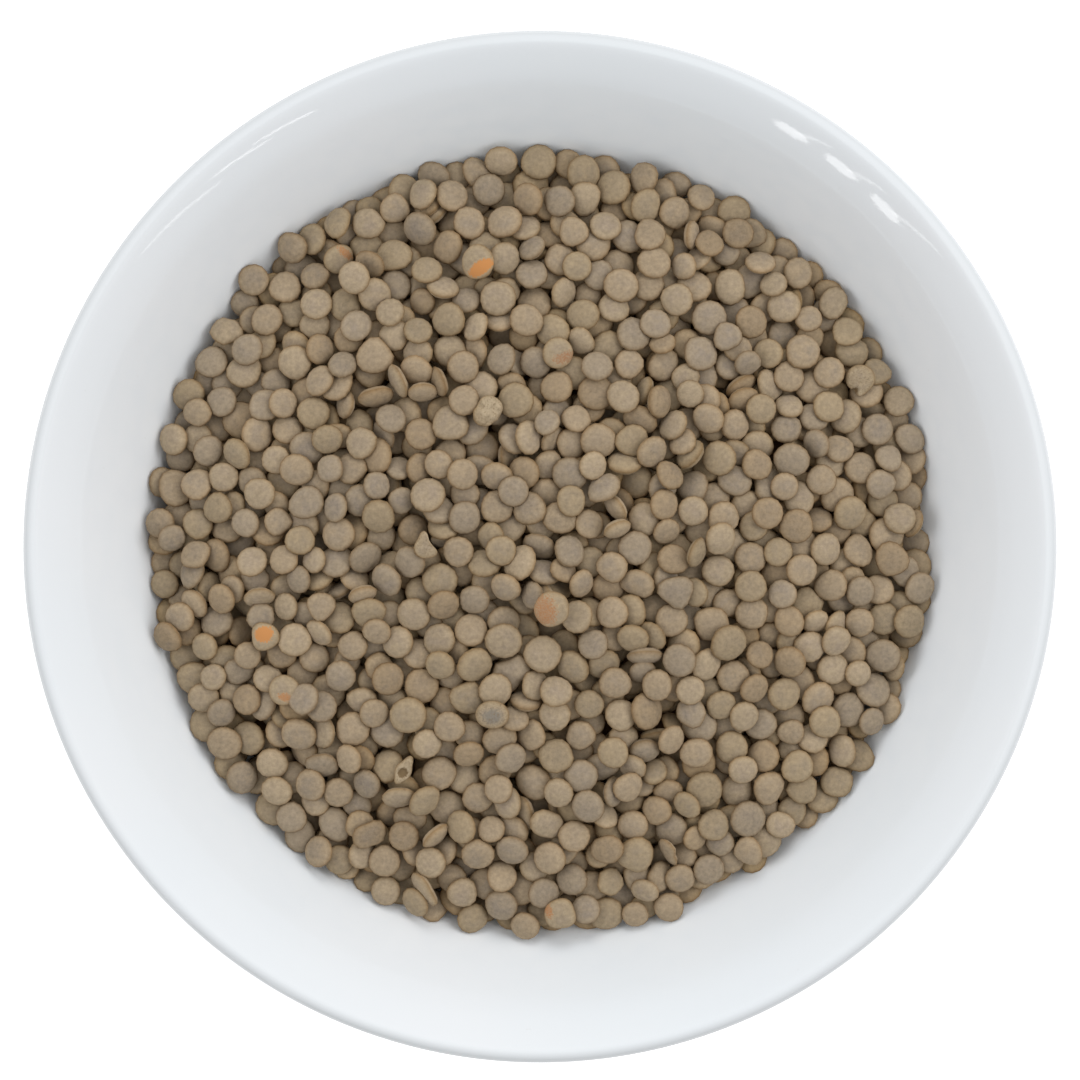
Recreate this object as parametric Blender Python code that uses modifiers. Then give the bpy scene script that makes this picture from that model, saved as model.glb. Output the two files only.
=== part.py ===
"""A white porcelain bowl heaped with dry brown lentils, at real size in metres.

The bowl is one turned shell. The lentils are one mound: a core that fills the
bowl's inside, with whole lentils fused on where the heap shows.
"""

import math
import random

import bmesh
import bpy
from mathutils import Matrix, Vector

# Bowl
RIM_RADIUS = 0.075
BOWL_HEIGHT = 0.050
LIP_THICKNESS = 0.0028
LIP_SLOPE = math.radians(36)  # of the flared wall where it meets the lip
FLARE_SLOPE = math.radians(48)  # of the flared wall at its lower end, the soft edge
FLARE_CURVE = 0.046  # radius of the flare's outward bend
LOWER_SLOPE = math.radians(52)  # of the straight wall below the soft edge
WELL_CURVE = 0.058  # radius of the curve from the wall to the floor
FLOOR_RADIUS = 0.010  # of the flat middle of the floor
BASE_THICKNESS = 0.0046
FOOT_OUTER_RADIUS = 0.0345
FOOT_INNER_RADIUS = 0.0300
FOOT_EDGE = 0.0006  # rounding of the foot's lower edges
FOOT_FILLET = 0.0014  # rounding where the foot meets the bowl
BOWL_SIDES = 56

# Heap of lentils
HEAP_RADIUS = 0.0580
HEAP_RISE = 0.0084  # of the middle of the mound over its edge
CORE_DROP = 0.0007  # how far the core lies below the lentils' middles
CORE_SIDES = BOWL_SIDES // 2
CORE_RINGS = 5
CLEARANCE = 0.0004  # between lentils and porcelain
LENTIL_COUNT = 460
LENTIL_DIAMETER = 0.00475
LENTIL_THICKNESS = 0.0023
SMALLEST, LARGEST = 0.88, 1.14  # of the mean diameter
NARROWEST = 0.9  # a lentil's width, as a share of its length
THICKNESS_SPREAD = 0.1  # more or less than the mean
USUAL_TILT = math.radians(14)  # off the heap's slope, as a standard deviation
STEEP_SHARE = 0.15  # of the lentils that stand well off the heap's slope
STEEP_TILT = math.radians(35), math.radians(75)
SHIFT = 0.2  # most that a lentil leaves its even place, in mean spacings
LIFT = 0.0004  # most that it lies over or under the heap's surface
LENTIL_SIDES = 7
LENTIL_ROWS = 3
HEAP_TRIANGLES = 10800  # after the joined mesh is thinned
SEED = 4

# Points along the rounded stretches of a profile
WELL_STEPS = 4
FLARE_STEPS = 2
LIP_STEPS = 4
OUTER_STEPS = 4
RECESS_STEPS = 2

SHARP_ANGLE = math.radians(35)  # edges steeper than this shade as creases


def arc(centre, radius, start, end, steps):
    """Points of an arc, with angles from +X towards +Z."""
    angles = [start + (end - start) * i / steps for i in range(steps + 1)]
    return [(centre[0] + radius * math.cos(a), centre[1] + radius * math.sin(a)) for a in angles]


def lip_centre():
    return RIM_RADIUS - LIP_THICKNESS / 2, BOWL_HEIGHT - LIP_THICKNESS / 2


def flare_centre():
    """The flare bends outwards about this point and runs tangent to the lip's round."""
    radius, height = lip_centre()
    reach = FLARE_CURVE - LIP_THICKNESS / 2
    return radius + reach * math.sin(LIP_SLOPE), height - reach * math.cos(LIP_SLOPE)


def soft_edge():
    """The slight crease where the flare starts."""
    radius, height = flare_centre()
    return radius - FLARE_CURVE * math.sin(FLARE_SLOPE), height + FLARE_CURVE * math.cos(FLARE_SLOPE)


def well_centre():
    """The curve of the well starts level at the floor and ends tangent to the straight wall."""
    end_radius = FLOOR_RADIUS + WELL_CURVE * math.sin(LOWER_SLOPE)
    end_height = soft_edge()[1] - (soft_edge()[0] - end_radius) * math.tan(LOWER_SLOPE)
    return FLOOR_RADIUS, end_height + WELL_CURVE * math.cos(LOWER_SLOPE)


def inside_height(radius):
    """Height of the bowl's inner face up to the soft edge."""
    centre_radius, centre_height = well_centre()
    if radius <= FLOOR_RADIUS:
        return centre_height - WELL_CURVE
    if radius <= FLOOR_RADIUS + WELL_CURVE * math.sin(LOWER_SLOPE):
        return centre_height - math.sqrt(WELL_CURVE**2 - (radius - centre_radius) ** 2)
    return soft_edge()[1] - (soft_edge()[0] - radius) * math.tan(LOWER_SLOPE)


def bowl_profile():
    """From the middle of the floor up the inside, over the lip and down to the foot."""
    well = well_centre()
    down = -math.pi / 2
    up = math.pi / 2
    outer_curve = WELL_CURVE + BASE_THICKNESS
    foot_top_angle = math.asin((FOOT_OUTER_RADIUS + FOOT_FILLET - well[0]) / outer_curve)
    recess_angle = math.asin((FOOT_INNER_RADIUS - FOOT_FILLET - well[0]) / outer_curve)
    flare = flare_centre()
    outside = arc(well, outer_curve, down + LOWER_SLOPE, down + foot_top_angle, OUTER_STEPS)
    recess = arc(well, outer_curve, down + recess_angle, down, RECESS_STEPS)
    points = [(0, well[1] - WELL_CURVE)]
    points += arc(well, WELL_CURVE, down, down + LOWER_SLOPE, WELL_STEPS)
    points += arc(flare, FLARE_CURVE, up + FLARE_SLOPE, up + LIP_SLOPE, FLARE_STEPS)
    points += arc(lip_centre(), LIP_THICKNESS / 2, up + LIP_SLOPE, down + LIP_SLOPE, LIP_STEPS)[1:]
    points += arc(flare, FLARE_CURVE - LIP_THICKNESS, up + LIP_SLOPE, up + FLARE_SLOPE, FLARE_STEPS)[1:]
    points += outside
    points.append((FOOT_OUTER_RADIUS, outside[-1][1] - FOOT_FILLET))
    points.append((FOOT_OUTER_RADIUS, FOOT_EDGE))
    points.append((FOOT_OUTER_RADIUS - FOOT_EDGE, 0))
    points.append((FOOT_INNER_RADIUS + FOOT_EDGE, 0))
    points.append((FOOT_INNER_RADIUS, FOOT_EDGE))
    points.append((FOOT_INNER_RADIUS, recess[0][1] - FOOT_FILLET))
    points += recess
    points.append((0, recess[-1][1]))
    return points


def heap_height(radius):
    """Height of the lentils' middles: a mound that falls off as the square of the radius."""
    return inside_height(HEAP_RADIUS) + HEAP_RISE * (1 - (radius / HEAP_RADIUS) ** 2)


def core_edge_radius():
    """Where the core's top comes down to the wall, less its clearance: the root of a quadratic."""
    fall = HEAP_RISE / HEAP_RADIUS**2
    slope = math.tan(LOWER_SLOPE)
    above = HEAP_RISE - CORE_DROP - CLEARANCE / math.cos(LOWER_SLOPE) + HEAP_RADIUS * slope
    return (math.sqrt(slope**2 + 4 * fall * above) - slope) / (2 * fall)


def core_profile():
    """From the top of the mound out to its edge, then down along the bowl's inside."""
    radii = [core_edge_radius() * i / CORE_RINGS for i in range(CORE_RINGS + 1)]
    points = [(r, heap_height(r) - CORE_DROP) for r in radii]
    down = -math.pi / 2
    points += arc(well_centre(), WELL_CURVE - CLEARANCE, down + LOWER_SLOPE, down, WELL_STEPS)
    points.append((0, points[-1][1]))
    return points


def turned(name, profile, sides, material, collection):
    """An object made by turning a profile about the vertical axis."""
    mesh = bpy.data.meshes.new(name)
    edges = [(i, i + 1) for i in range(len(profile) - 1)]
    mesh.from_pydata([(r, 0, z) for r, z in profile], edges, [])
    mesh.materials.append(material)
    obj = bpy.data.objects.new(name, mesh)
    collection.objects.link(obj)
    screw = obj.modifiers.new("Turn", "SCREW")
    screw.steps = screw.render_steps = sides
    screw.use_merge_vertices = True
    screw.merge_threshold = 0.0001
    screw.use_smooth_shade = True
    return obj


def lentil(name, size, place, axis, spin, collection):
    """One lens-shaped lentil, a little longer than wide, with its flat side facing along axis."""
    length, width, thickness = size
    bm = bmesh.new()
    bmesh.ops.create_uvsphere(bm, u_segments=LENTIL_SIDES, v_segments=LENTIL_ROWS, radius=0.5)
    ring = max(v.co.x for v in bm.verts)
    scale = Matrix.Diagonal((length / 2 / ring, width / 2 / ring, thickness, 1))
    turn = axis.to_track_quat("Z", "Y").to_matrix().to_4x4() @ Matrix.Rotation(spin, 4, "Z")
    bm.transform(Matrix.Translation(place) @ turn @ scale)
    move_off_wall(bm)
    mesh = bpy.data.meshes.new(name)
    bm.to_mesh(mesh)
    bm.free()
    collection.objects.link(bpy.data.objects.new(name, mesh))


def move_off_wall(bm):
    """Moves a lentil in from the porcelain, square to the wall, until it is clear."""
    cosine = math.cos(LOWER_SLOPE)
    nearest = min(bm.verts, key=lambda v: v.co.z - inside_height(v.co.xy.length))
    room = (nearest.co.z - inside_height(nearest.co.xy.length)) * cosine
    if room >= CLEARANCE:
        return
    outward = nearest.co.xy.normalized()
    inward = Vector((*(-outward * math.sin(LOWER_SLOPE)), cosine))
    bmesh.ops.translate(bm, verts=bm.verts, vec=inward * (CLEARANCE - room))


def heap_axis(outward, radius):
    """Square to the mound's surface at this distance from its middle."""
    slope = 2 * HEAP_RISE * radius / HEAP_RADIUS**2
    return (outward * slope + Vector((0, 0, 1))).normalized()


def tilted(axis, rng):
    """The axis of a lentil that lies nearly flat on the heap, or of one of the few that stand up."""
    steep = rng.random() < STEEP_SHARE
    tilt = rng.uniform(*STEEP_TILT) if steep else abs(rng.gauss(0, USUAL_TILT))
    lean = axis.orthogonal().normalized()
    lean.rotate(Matrix.Rotation(rng.uniform(0, 2 * math.pi), 3, axis))
    turned_axis = axis.copy()
    turned_axis.rotate(Matrix.Rotation(tilt, 3, lean))
    return turned_axis


def scatter_lentils(collection):
    """Lentils spread evenly over the mound on a sunflower spiral, with seeded unevenness."""
    rng = random.Random(SEED)
    golden_angle = math.pi * (3 - math.sqrt(5))
    spacing = HEAP_RADIUS * math.sqrt(math.pi / LENTIL_COUNT)
    for i in range(LENTIL_COUNT):
        radius = HEAP_RADIUS * math.sqrt((i + 0.5) / LENTIL_COUNT)
        angle = i * golden_angle + rng.uniform(-SHIFT, SHIFT) * spacing / max(radius, spacing)
        radius = abs(radius + rng.uniform(-SHIFT, SHIFT) * spacing)
        outward = Vector((math.cos(angle), math.sin(angle), 0))
        axis = tilted(heap_axis(outward, radius), rng)
        length = LENTIL_DIAMETER * rng.uniform(SMALLEST, LARGEST)
        width = length * rng.uniform(NARROWEST, 1)
        thickness = LENTIL_THICKNESS * (1 + rng.uniform(-THICKNESS_SPREAD, THICKNESS_SPREAD))
        place = outward * radius
        place.z = heap_height(radius) + rng.uniform(-LIFT, LIFT)
        spin = rng.uniform(0, 2 * math.pi)
        lentil(f"lentil_{i}", (length, width, thickness), place, axis, spin, collection)


def keep_outer_shell(obj):
    """Fills hollows that the joining sealed and drops loose scraps: only the largest shell stays."""
    bm = bmesh.new()
    bm.from_mesh(obj.data)
    left = set(bm.faces)
    shells = []
    while left:
        stack = [left.pop()]
        shell = list(stack)
        while stack:
            for edge in stack.pop().edges:
                for face in edge.link_faces:
                    if face in left:
                        left.remove(face)
                        stack.append(face)
                        shell.append(face)
        shells.append(shell)
    shells.sort(key=len)
    for shell in shells[:-1]:
        bmesh.ops.delete(bm, geom=shell, context="FACES")
    bm.to_mesh(obj.data)
    bm.free()


def thin_out(obj):
    """Collapses the shortest edges that the joining left along the lentils' meeting lines."""
    obj.data.calc_loop_triangles()
    thin = obj.modifiers.new("Thin", "DECIMATE")
    thin.ratio = min(1, HEAP_TRIANGLES / len(obj.data.loop_triangles))


def heap_of_lentils(material, collection):
    """The mound's core with the lentils of its surface joined on as one solid."""
    heap = turned("lentils", core_profile(), CORE_SIDES, material, collection)
    grains = bpy.data.collections.new("lentils_to_join")
    bpy.context.scene.collection.children.link(grains)
    scatter_lentils(grains)
    join = heap.modifiers.new("Join", "BOOLEAN")
    join.operation = "UNION"
    join.operand_type = "COLLECTION"
    join.collection = grains
    join.solver = "MANIFOLD"
    graph = bpy.context.evaluated_depsgraph_get()
    joined = bpy.data.meshes.new_from_object(heap.evaluated_get(graph))
    heap.modifiers.clear()
    heap.data = joined
    for obj in list(grains.objects):
        bpy.data.objects.remove(obj)
    bpy.data.collections.remove(grains)
    keep_outer_shell(heap)
    thin_out(heap)
    heap.data.shade_smooth()
    heap.data.set_sharp_from_angle(angle=SHARP_ANGLE)
    return heap


def principled(name, color, roughness, metallic):
    material = bpy.data.materials.new(name)
    material.use_nodes = True
    shader = material.node_tree.nodes["Principled BSDF"]
    shader.inputs["Base Color"].default_value = (*color, 1)
    shader.inputs["Roughness"].default_value = roughness
    shader.inputs["Metallic"].default_value = metallic
    return material


def main():
    for obj in list(bpy.data.objects):
        bpy.data.objects.remove(obj)
    parts = bpy.data.collections.new("bowl_of_dry_lentils")
    bpy.context.scene.collection.children.link(parts)
    porcelain = principled("glazed_porcelain", (0.82, 0.84, 0.86), 0.12, 0)
    skin = principled("lentil_skin", (0.24, 0.18, 0.11), 0.7, 0)
    turned("bowl", bowl_profile(), BOWL_SIDES, porcelain, parts)
    heap_of_lentils(skin, parts)


main()
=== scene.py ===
# A white porcelain bowl of dry brown lentils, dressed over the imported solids

import math

import bpy
import numpy as np
from mathutils import Matrix, Vector


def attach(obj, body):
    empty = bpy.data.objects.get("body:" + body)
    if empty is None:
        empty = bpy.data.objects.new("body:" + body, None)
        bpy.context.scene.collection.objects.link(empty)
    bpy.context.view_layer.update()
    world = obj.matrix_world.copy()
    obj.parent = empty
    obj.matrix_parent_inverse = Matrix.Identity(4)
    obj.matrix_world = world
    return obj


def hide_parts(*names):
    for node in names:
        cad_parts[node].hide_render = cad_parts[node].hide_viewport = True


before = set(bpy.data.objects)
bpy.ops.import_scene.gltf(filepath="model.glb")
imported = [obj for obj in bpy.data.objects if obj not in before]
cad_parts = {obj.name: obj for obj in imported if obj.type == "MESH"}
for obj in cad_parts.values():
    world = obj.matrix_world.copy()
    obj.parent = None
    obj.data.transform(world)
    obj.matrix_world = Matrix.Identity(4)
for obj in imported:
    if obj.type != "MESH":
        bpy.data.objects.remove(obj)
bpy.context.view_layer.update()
mm = 0.001
turn = 2 * math.pi


# Shader helper: one class wraps a socket, the other a material

class Value:
    # an output socket; sums, differences and products with it add Math nodes
    def __init__(self, finish, socket):
        self.finish = finish
        self.socket = socket

    def __add__(self, other):
        return self.finish.maths("ADD", self, other)

    def __sub__(self, other):
        return self.finish.maths("SUBTRACT", self, other)

    def __mul__(self, other):
        return self.finish.maths("MULTIPLY", self, other)


class Finish:
    # a material with its Principled shader, and the nodes that feed it
    def __init__(self, name, **constants):
        self.material = bpy.data.materials.new(name)
        self.material.use_nodes = True
        self.tree = self.material.node_tree
        self.shader = self.tree.nodes["Principled BSDF"]
        self.feed(self.shader, constants)

    def feed(self, node, inputs):
        for key, value in inputs.items():
            socket = node.inputs[key.replace("_", " ") if isinstance(key, str) else key]
            if isinstance(value, Value):
                self.tree.links.new(value.socket, socket)
            else:
                socket.default_value = value

    def add(self, kind, settings=None, inputs=None, out=0):
        node = self.tree.nodes.new(kind)
        for key, value in (settings or {}).items():
            if key == "stops":
                self.setStops(node.color_ramp, value)
            else:
                setattr(node, key, value)
        self.feed(node, inputs or {})
        return Value(self, node.outputs[out])

    def setStops(self, ramp, stops):
        while len(ramp.elements) < len(stops):
            ramp.elements.new(1.0)
        for element, (place, colour) in zip(ramp.elements, stops):
            element.position = place
            element.color = colour

    def maths(self, operation, a, b=0.0):
        return self.add("ShaderNodeMath", {"operation": operation}, {0: a, 1: b})

    def mix(self, factor, a, b, blend="MIX"):
        # colours go through here, as a Math node would turn them grey
        settings = {"data_type": "RGBA", "blend_type": blend}
        return self.add("ShaderNodeMix", settings, {0: factor, 6: a, 7: b}, out=2)

    def ramp(self, factor, *stops):
        # a number that runs through (place, value) stops
        grey = [(place, (value, value, value, 1)) for place, value in stops]
        return self.add("ShaderNodeValToRGB", {"stops": grey}, {"Fac": factor})

    def place(self):
        return self.add("ShaderNodeTexCoord", out="Object")

    def axis(self, name):
        return self.add("ShaderNodeSeparateXYZ", None, {"Vector": self.place()}, out=name)

    def attribute(self, name):
        return self.add("ShaderNodeAttribute", {"attribute_name": name}, out="Fac")

    def noise(self, scale, detail=3.0, roughness=0.55):
        inputs = {"Vector": self.place(), "Scale": scale, "Detail": detail, "Roughness": roughness}
        return self.add("ShaderNodeTexNoise", None, inputs, out="Fac")

    def bump(self, height, strength, distance):
        inputs = {"Height": height, "Strength": strength, "Distance": distance}
        self.feed(self.shader, {"Normal": self.add("ShaderNodeBump", None, inputs)})


def srgb(red, green, blue):
    # a colour as read on screen, 0 to 255, in the linear numbers that a shader takes
    parts = [c / 255 for c in (red, green, blue)]
    return tuple(c / 12.92 if c <= 0.04045 else ((c + 0.055) / 1.055) ** 2.4 for c in parts) + (1.0,)


def gridFaces(rows, columns):
    # quads between neighbouring rows of points, each row closed round on itself
    row = np.arange(rows - 1)[:, None] * columns
    here = np.arange(columns)[None, :]
    after = (here + 1) % columns
    quads = np.stack([row + columns + here, row + columns + after, row + after, row + here], -1)
    return quads.reshape(-1, 4)


def meshObject(name, points, faces, finish, bakeMap=None):
    # faces is a list of arrays, one array for each number of corners; bakeMap has a place for each corner
    mesh = bpy.data.meshes.new(name)
    corners = np.concatenate([f.ravel() for f in faces]).astype(np.int32)
    counts = np.concatenate([np.full(len(f), f.shape[1]) for f in faces])
    mesh.vertices.add(len(points))
    mesh.vertices.foreach_set("co", np.ascontiguousarray(points, np.float32).ravel())
    mesh.loops.add(len(corners))
    mesh.loops.foreach_set("vertex_index", corners)
    mesh.polygons.add(len(counts))
    starts = np.concatenate([[0], np.cumsum(counts)[:-1]])
    mesh.polygons.foreach_set("loop_start", starts.astype(np.int32))
    mesh.polygons.foreach_set("use_smooth", np.ones(len(counts), bool))
    mesh.materials.append(finish.material)
    mesh.update(calc_edges=True)
    if bakeMap is not None:
        layer = mesh.uv_layers.new(name="OFBake", do_init=False)
        layer.uv.foreach_set("vector", np.ascontiguousarray(bakeMap, np.float32).ravel())
    piece = bpy.data.objects.new(name, mesh)
    bpy.context.scene.collection.objects.link(piece)
    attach(piece, "root")
    return piece


# Bowl: the profile repeats the solid's own sizes

bowl = {
    "rimRadius": 75 * mm,
    "height": 50 * mm,
    "lipThickness": 2.8 * mm,
    "lipSlope": math.radians(36),
    "flareSlope": math.radians(48),
    "flareCurve": 46 * mm,
    "easedTo": math.radians(42),     # slope at which the flare has its own curve
    "easedFrom": 0.5,                # place along the straight wall where its bend begins
    "lipFrom": math.radians(39),     # slope at which the flare leaves its curve for the lip
    "lipTo": math.radians(8),        # slope at which the lip has its own round
    "lowerSlope": math.radians(52),
    "wellCurve": 58 * mm,
    "floorRadius": 10 * mm,
    "baseThickness": 4.6 * mm,
    "footOuter": 34.5 * mm,
    "footInner": 30.0 * mm,
    "footEdge": 0.6 * mm,
    "footFillet": 1.4 * mm,
    "sides": 256,
    "steps": {                       # steps along each stretch of the profile
        "well": 24, "bend": 10, "flareIn": 3, "lipBend": 10, "lip": 14,
        "flareOut": 6, "outerWall": 12, "outside": 14, "under": 6, "foot": 4,
    },
}

porcelain = {
    "body": ((238, 241, 244), (234, 239, 243)),      # two whites that drift into each other
    # painted shade: a greyer ring over the lip
    "thinned": (221, 225, 228),
    "lipShadeStops": ((0.945, 0.0), (0.985, 1.0)),       # where the painted lip shade comes in, over the squared share of the rim's radius
    "speck": (206, 202, 196),
    "speckStops": ((0.79, 0.0), (0.82, 0.12)),
    "biscuit": ((214, 205, 192), (232, 226, 216)),   # of the bare foot
    "bareUnit": 2 * mm,
    "bareStops": ((0.28, 1.0), (0.34, 0.0)),         # over the height in that unit
    "roughness": 0.045,
    "bareRoughness": 0.6,                            # on top of that, where the foot is bare
    "bump": (0.12, 0.4 * mm),                        # strength and distance
}


def arcPoints(centre, radius, start, end, steps):
    # centre plus radius times (cos a, sin a), for angles from start to end
    angle = np.linspace(start, end, steps + 1)
    return np.stack([centre[0] + radius * np.cos(angle), centre[1] + radius * np.sin(angle)], 1)


def easedCurve(start, startSlope, end, endSlope, steps):
    # (1 - t)^2 start + 2 t (1 - t) corner + t^2 end, where the two tangents meet in the corner
    first = np.array([math.cos(startSlope), math.sin(startSlope)])
    last = np.array([math.cos(endSlope), math.sin(endSlope)])
    reach = np.linalg.solve(np.stack([first, last], 1), end - start)[0]
    corner = start + reach * first
    t = np.linspace(0, 1, steps + 1)[1:-1, None]
    return (1 - t) ** 2 * start + 2 * t * (1 - t) * corner + t ** 2 * end


def bowlCentres():
    # the points that the lip, the flare and the well bend round, each arc tangent to the next
    lip = (bowl["rimRadius"] - bowl["lipThickness"] / 2, bowl["height"] - bowl["lipThickness"] / 2)
    reach = bowl["flareCurve"] - bowl["lipThickness"] / 2
    flare = (lip[0] + reach * math.sin(bowl["lipSlope"]), lip[1] - reach * math.cos(bowl["lipSlope"]))
    edgeRadius = flare[0] - bowl["flareCurve"] * math.sin(bowl["flareSlope"])
    edgeHeight = flare[1] + bowl["flareCurve"] * math.cos(bowl["flareSlope"])
    wellEnd = bowl["floorRadius"] + bowl["wellCurve"] * math.sin(bowl["lowerSlope"])
    wellTop = edgeHeight - (edgeRadius - wellEnd) * math.tan(bowl["lowerSlope"])
    well = (bowl["floorRadius"], wellTop + bowl["wellCurve"] * math.cos(bowl["lowerSlope"]))
    return lip, flare, (edgeRadius, edgeHeight), well


def bowlProfile():
    # floor centre, well, straight wall, flare, round lip, then the outside down to the foot ring
    lip, flare, edge, well = bowlCentres()
    up, down = math.pi / 2, -math.pi / 2
    steps = bowl["steps"]
    outerCurve = bowl["wellCurve"] + bowl["baseThickness"]
    lipSlope, lowerSlope = bowl["lipSlope"], bowl["lowerSlope"]
    footTop = math.asin((bowl["footOuter"] + bowl["footFillet"] - well[0]) / outerCurve)
    recess = math.asin((bowl["footInner"] - bowl["footFillet"] - well[0]) / outerCurve)
    inside = arcPoints(well, bowl["wellCurve"], down, down + lowerSlope, steps["well"])
    eased = bowl["easedTo"]
    flareIn = arcPoints(flare, bowl["flareCurve"], up + eased, up + bowl["lipFrom"], steps["flareIn"])
    lipRound = arcPoints(lip, bowl["lipThickness"] / 2, up + bowl["lipTo"], down + lipSlope, steps["lip"])
    lipBend = easedCurve(flareIn[-1], bowl["lipFrom"], lipRound[0], bowl["lipTo"], steps["lipBend"])
    outerFlare = bowl["flareCurve"] - bowl["lipThickness"]
    flareOut = arcPoints(flare, outerFlare, up + lipSlope, up + eased, steps["flareOut"])
    outside = arcPoints(well, outerCurve, down + lowerSlope, down + footTop, steps["outside"])
    under = arcPoints(well, outerCurve, down + recess, down, steps["under"])
    fillet, edgeRound, foot = bowl["footFillet"], bowl["footEdge"], steps["foot"]
    outerFillet = arcPoints((outside[-1][0], outside[-1][1] - fillet), fillet, up, math.pi, foot)
    innerFillet = arcPoints((under[0][0], under[0][1] - fillet), fillet, 0, up, foot)
    footOut = arcPoints((bowl["footOuter"] - edgeRound, edgeRound), edgeRound, 0, down, foot)
    footIn = arcPoints((bowl["footInner"] + edgeRound, edgeRound), edgeRound, down, -math.pi, foot)
    bendStart = inside[-1] + (np.array(edge) - inside[-1]) * bowl["easedFrom"]
    wall = np.stack([(inside[-1] + bendStart) / 2, bendStart])
    bend = easedCurve(bendStart, lowerSlope, flareIn[0], eased, steps["bend"])
    outerWall = easedCurve(flareOut[-1], eased, outside[0], lowerSlope, steps["outerWall"])
    runs = [inside, wall, bend, flareIn, lipBend, lipRound, flareOut[1:], outerWall, outside[:-1]]
    runs += [outerFillet, footOut, footIn, innerFillet[:-1], under]
    return np.concatenate(runs)


def turnedSurface(profile, sides):
    # a profile point (r, z) goes round the axis as (r cos a, r sin a, z), and one point closes each end
    angle = np.arange(sides) * turn / sides
    radius, height = profile[:, :1], profile[:, 1:]
    rings = np.stack([radius * np.cos(angle), radius * np.sin(angle), height + 0 * angle], -1)
    rings = rings.reshape(-1, 3)
    poles = np.array([[0, 0, profile[0, 1]], [0, 0, profile[-1, 1]]])
    here = np.arange(sides)
    after = (here + 1) % sides
    last = (len(profile) - 1) * sides
    first = np.stack([here, after, np.full(sides, len(rings))], 1)
    end = np.stack([last + after, last + here, np.full(sides, len(rings) + 1)], 1)
    return np.concatenate([rings, poles]), [gridFaces(len(profile), sides), first, end]


def porcelainFinish():
    # white glaze, faintly blue, greyer over the lip as painted shade, and a bare ring under the foot
    glaze = Finish("whiteGlaze", Roughness=0.1, Specular_IOR_Level=0.5)
    x, y, high = glaze.axis("X"), glaze.axis("Y"), glaze.axis("Z")
    cloud = glaze.noise(18, detail=2)
    cloudy = glaze.ramp(cloud, (0.35, 0.0), (0.7, 1.0))
    white, bluer = porcelain["body"]
    colour = glaze.mix(cloudy, srgb(*white), srgb(*bluer))
    outwards = (x * x + y * y) * (1 / bowl["rimRadius"] ** 2)
    # painted shade: the glaze greys over the lip
    thin = glaze.ramp(outwards, *porcelain["lipShadeStops"])
    colour = glaze.mix(thin, colour, srgb(*porcelain["thinned"]))
    speck = glaze.ramp(glaze.noise(1100, detail=1), *porcelain["speckStops"])
    colour = glaze.mix(speck, colour, srgb(*porcelain["speck"]))
    bare = glaze.ramp(high * (1 / porcelain["bareUnit"]), *porcelain["bareStops"])
    grain = glaze.noise(2500, detail=2)
    darker, lighter = porcelain["biscuit"]
    biscuit = glaze.mix(grain, srgb(*darker), srgb(*lighter))
    ripple = glaze.noise(45, detail=1)
    glaze.feed(glaze.shader, {
        "Base Color": glaze.mix(bare, colour, biscuit),
        "Roughness": bare * porcelain["bareRoughness"] + porcelain["roughness"],
    })
    dimples = glaze.noise(900, detail=2)
    glaze.bump(ripple * 0.8 + dimples * 0.11 + grain * bare * 0.2, *porcelain["bump"])
    return glaze


def makeBowl():
    points, faces = turnedSurface(bowlProfile(), bowl["sides"])
    piece = meshObject("porcelainBowl", points, faces, porcelainFinish())
    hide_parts("bowl")
    print("bowl made:", len(points), "points")


# Heap: its surface, what it lies on, and how single lentils settle

heap = {
    "radius": 58 * mm,
    "rise": 8.4 * mm,
    "depth": 5.2 * mm,       # of loose lentils over the dark core
    "top": 0.3 * mm,         # of the heap's surface over the solid's lentil middles
    "unevenness": 0.5 * mm,
    "waves": 9,
    "waveLengths": (14, 34),   # shortest and longest, in millimetres
    "overhang": -0.15 * mm,  # how far the middles reach past the radius; below 0 they end short of it
    "ovalness": 0.6 * mm,    # more of that at the picture's top and bottom, less at its sides
    "cell": 0.2 * mm,        # of the height map on which the lentils settle
    "block": 4,              # cells along a side of the patches that lentils are dropped on
    "reach": 62 * mm,
    "layers": 10,
    "spacing": 0.86,         # between the middles of one layer, over the usual diameter
    "disorder": 0.45,        # how loosely each lentil lies up to those before it
    "filled": 1.7 * mm,      # the lower layers cover only what lies deeper than this
    "topFilled": 0.3 * mm,   # the last but one covers all that lies deeper than this
    "holes": 0.7 * mm,       # and the last one only holes deeper than this
    "roll": 0.2,             # how far a dropped lentil rolls to a lower place, over its radius
    "lieFlat": 0.34,         # the cost of a slope, as a share of the radius
    "press": 0.10 * mm,      # how far touching lentils sink together
    "highest": 2.6 * mm,     # of a lentil's middle over the mound, so that none pile up
    "shadeCover": 2.2 * mm,      # of cover over a lentil, for the full painted shade of the deep
    "seed": 5,
}

# how a lentil looks for its slope and its place
search = {
    "headings": 8,           # tried by a lentil on its edge
    "widest": 0.7,           # slope at the first grid's border
    "grid": 5,               # slopes along a side of each grid
    "rounds": 3,
    "narrowing": 0.4,        # of the grid from round to round
    "places": 5,
    "untouched": 2.0,        # the gap of a patch that no lentil of the layer is near
    "farthest": 1.6,         # wider gaps count as this
    "skipped": 0.5,          # over the radius: given up where a lentil would lie too high
}

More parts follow.
